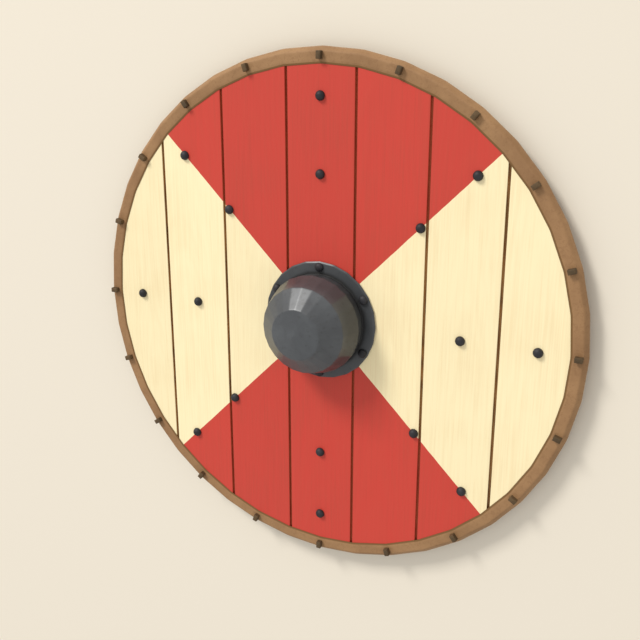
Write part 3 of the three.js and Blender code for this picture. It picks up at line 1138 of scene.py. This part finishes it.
barSizes = {
    "edge": 1.3 * mm,
    "handEdge": 6 * mm,
    "handHalf": 16 * mm,
    "handReach": 70 * mm,
    "blend": 14 * mm,  # length over which the bar turns into the hand part
    "endBevel": 9 * mm,
    "step": 4 * mm,
    "wear": 0.3 * mm,
    "pocketRadius": 8.8 * mm,
    "pocketDepth": 2.8 * mm,
    "pocketSides": 32,
}


def ringOf(half, low, high, edge):
    # A rounded rectangle of (across, up) points, always the same count
    points = []
    for sideX, sideZ, first in ((1, 1, 0), (-1, 1, 90), (-1, -1, 180), (1, -1, 270)):
        centreX = sideX * (half - edge)
        centreZ = (high - edge) if sideZ > 0 else (low + edge)
        for k in range(6):
            angle = math.radians(first + 90 * k / 5)
            points.append((centreX + edge * math.cos(angle), centreZ + edge * math.sin(angle)))
    filled = []
    for i, (across, up) in enumerate(points):
        nextAcross, nextUp = points[(i + 1) % len(points)]
        cuts = 6 if i in (5, 17) else 3 if i in (11, 23) else 1  # the flats are cut up, the arcs aren't
        for k in range(cuts):
            filled.append((across + (nextAcross - across) * k / cuts, up + (nextUp - up) * k / cuts))
    return filled


def barMesh(name, centreY, halfLength, halfWidth, hand, tag):
    sizes = barSizes
    xs = spread(-halfLength + sizes["endBevel"], halfLength - sizes["endBevel"], sizes["step"])
    ends = [halfLength - sizes["endBevel"] * k for k in (1.0, 0.75, 0.5, 0.25, 0.1, 0.0)]
    xs = [-x for x in reversed(ends)] + xs[1:] + ends
    vertices = []
    for x in xs:
        share = 1.0
        if hand:
            t = min(1.0, max(0.0, (abs(x) - sizes["handReach"]) / sizes["blend"]))
            share = t * t * (3 - 2 * t)
        half = sizes["handHalf"] + (halfWidth - sizes["handHalf"]) * share if hand else halfWidth
        edge = sizes["handEdge"] + (sizes["edge"] - sizes["handEdge"]) * share if hand else sizes["edge"]
        left = halfLength - abs(x)
        if left < sizes["endBevel"]:
            half -= sizes["endBevel"] - left
        for across, up in ringOf(half, 0.0, barTop, edge):
            worn = planeWave(x, across * 3, tag + 2) * sizes["wear"] if up > barTop * 0.5 else 0.0
            vertices.append((x, centreY + across, up - worn))
    ring = len(vertices) // len(xs)
    faces = []
    for j in range(len(xs) - 1):
        for i in range(ring):
            a, b = j * ring + i, j * ring + (i + 1) % ring
            faces.append((a, b, b + ring, a + ring))
    faces.append(tuple(range(ring)))
    faces.append(tuple(range(len(vertices) - ring, len(vertices))))
    return solidObject(name, vertices, faces)


def cutPockets(piece, centres):
    # Round pockets in the underside, where the roves lie
    radius = barSizes["pocketRadius"]
    depth = barSizes["pocketDepth"]
    below = -5 * mm  # clear of the bar's underside
    outline = [(0.0, below), (radius, below), (radius, depth), (0.0, depth)]
    for centre in centres:
        cutter = turnedMesh("pocket", outline, barSizes["pocketSides"])
        cutter.data.transform(Matrix.Translation((centre.x, centre.y, 0.0)))
        modifier = piece.modifiers.new("pocket", "BOOLEAN")
        modifier.operation = "DIFFERENCE"
        modifier.solver = "EXACT"
        modifier.object = cutter
        plainMesh(piece)
        dropObject(cutter)


def buildBars():
    rivets = nodePlaces("board_rivet_")[1]
    for node, tag in (("grip", 0.21), ("batten_upper", 0.64), ("batten_lower", 0.88)):
        low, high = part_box(node)
        centreY = (low.y + high.y) / 2
        piece = barMesh("wooden_" + node, centreY, high.x, (high.y - low.y) / 2, node == "grip", tag)
        inBar = [spot for spot in rivets if low.y < spot.y < high.y and low.x < spot.x < high.x]
        cutPockets(piece, inBar)
        piece.data.materials.clear()
        piece.data.materials.append(barWood)
        piece.data.polygons.foreach_set("material_index", [0] * len(piece.data.polygons))
        finishWood(piece.data, tag)
        settle(piece, [node])


buildBars()
print("grip and battens built")


# Floor, light and camera

studio = {
    "floor": linear(229, 222, 208),
    "floorReach": 14.0,
    "sky": (1.0, 0.975, 0.94, 1.0),
    "skyStrength": 0.742,
    "keyFrom": (-0.44, 0.725, 0.53),
    "keyDistance": 16.0,
    "keySize": 3.9,
    "keyPower": 1815.0,
    "keyColour": (1.0, 0.965, 0.91),
}
lens = {
    "azimuth": 26.475,
    "elevation": 17.763,
    "distance": 1472.0 * mm,
    "focal": 50.22,
    "aim": Vector((0.3 * mm, 0.3 * mm, boardFront + 2.0 * mm)),
    "nearest": 0.05,
    "farthest": 60.0,
}


def buildFloor():
    mesh = bpy.data.meshes.new("floor")
    reach = studio["floorReach"]
    spots = [(-reach, -reach, 0), (reach, -reach, 0), (reach, reach, 0), (-reach, reach, 0)]
    mesh.from_pydata(spots, [], [(0, 1, 2, 3)])
    material, sheet = newMaterial("floor_plaster")[:2]
    finishMaterial(sheet, studio["floor"], 0.9)
    mesh.materials.append(material)
    floor = newObject("floor", mesh)


def buildLight():
    world = bpy.data.worlds.new("studio")
    scene.world = world
    world.use_nodes = True
    background = world.node_tree.nodes["Background"]
    background.inputs["Color"].default_value = studio["sky"]
    background.inputs["Strength"].default_value = studio["skyStrength"]
    data = bpy.data.lights.new("key", "AREA")
    data.shape = "SQUARE"
    data.size = studio["keySize"]
    data.energy = studio["keyPower"]
    data.color = studio["keyColour"]
    key = newObject("key", data)
    toward = Vector(studio["keyFrom"]).normalized()
    key.location = toward * studio["keyDistance"]
    key.rotation_euler = toward.to_track_quat("Z", "Y").to_euler()


def buildCamera():
    data = bpy.data.cameras.new("camera")
    data.sensor_width = 36.0
    data.lens = lens["focal"]
    data.clip_start = lens["nearest"]
    data.clip_end = lens["farthest"]
    azimuth = math.radians(lens["azimuth"])
    elevation = math.radians(lens["elevation"])
    level = math.cos(elevation)
    back = Vector((math.sin(azimuth) * level, math.sin(elevation), math.cos(azimuth) * level))
    right = Vector((0, 1, 0)).cross(back).normalized()
    up = back.cross(right)
    turn = Matrix((right, up, back)).transposed()
    camera = newObject("camera", data)
    camera.matrix_world = Matrix.Translation(lens["aim"] + back * lens["distance"]) @ turn.to_4x4()
    scene.camera = camera


buildFloor()
buildLight()
buildCamera()
print("studio ready")
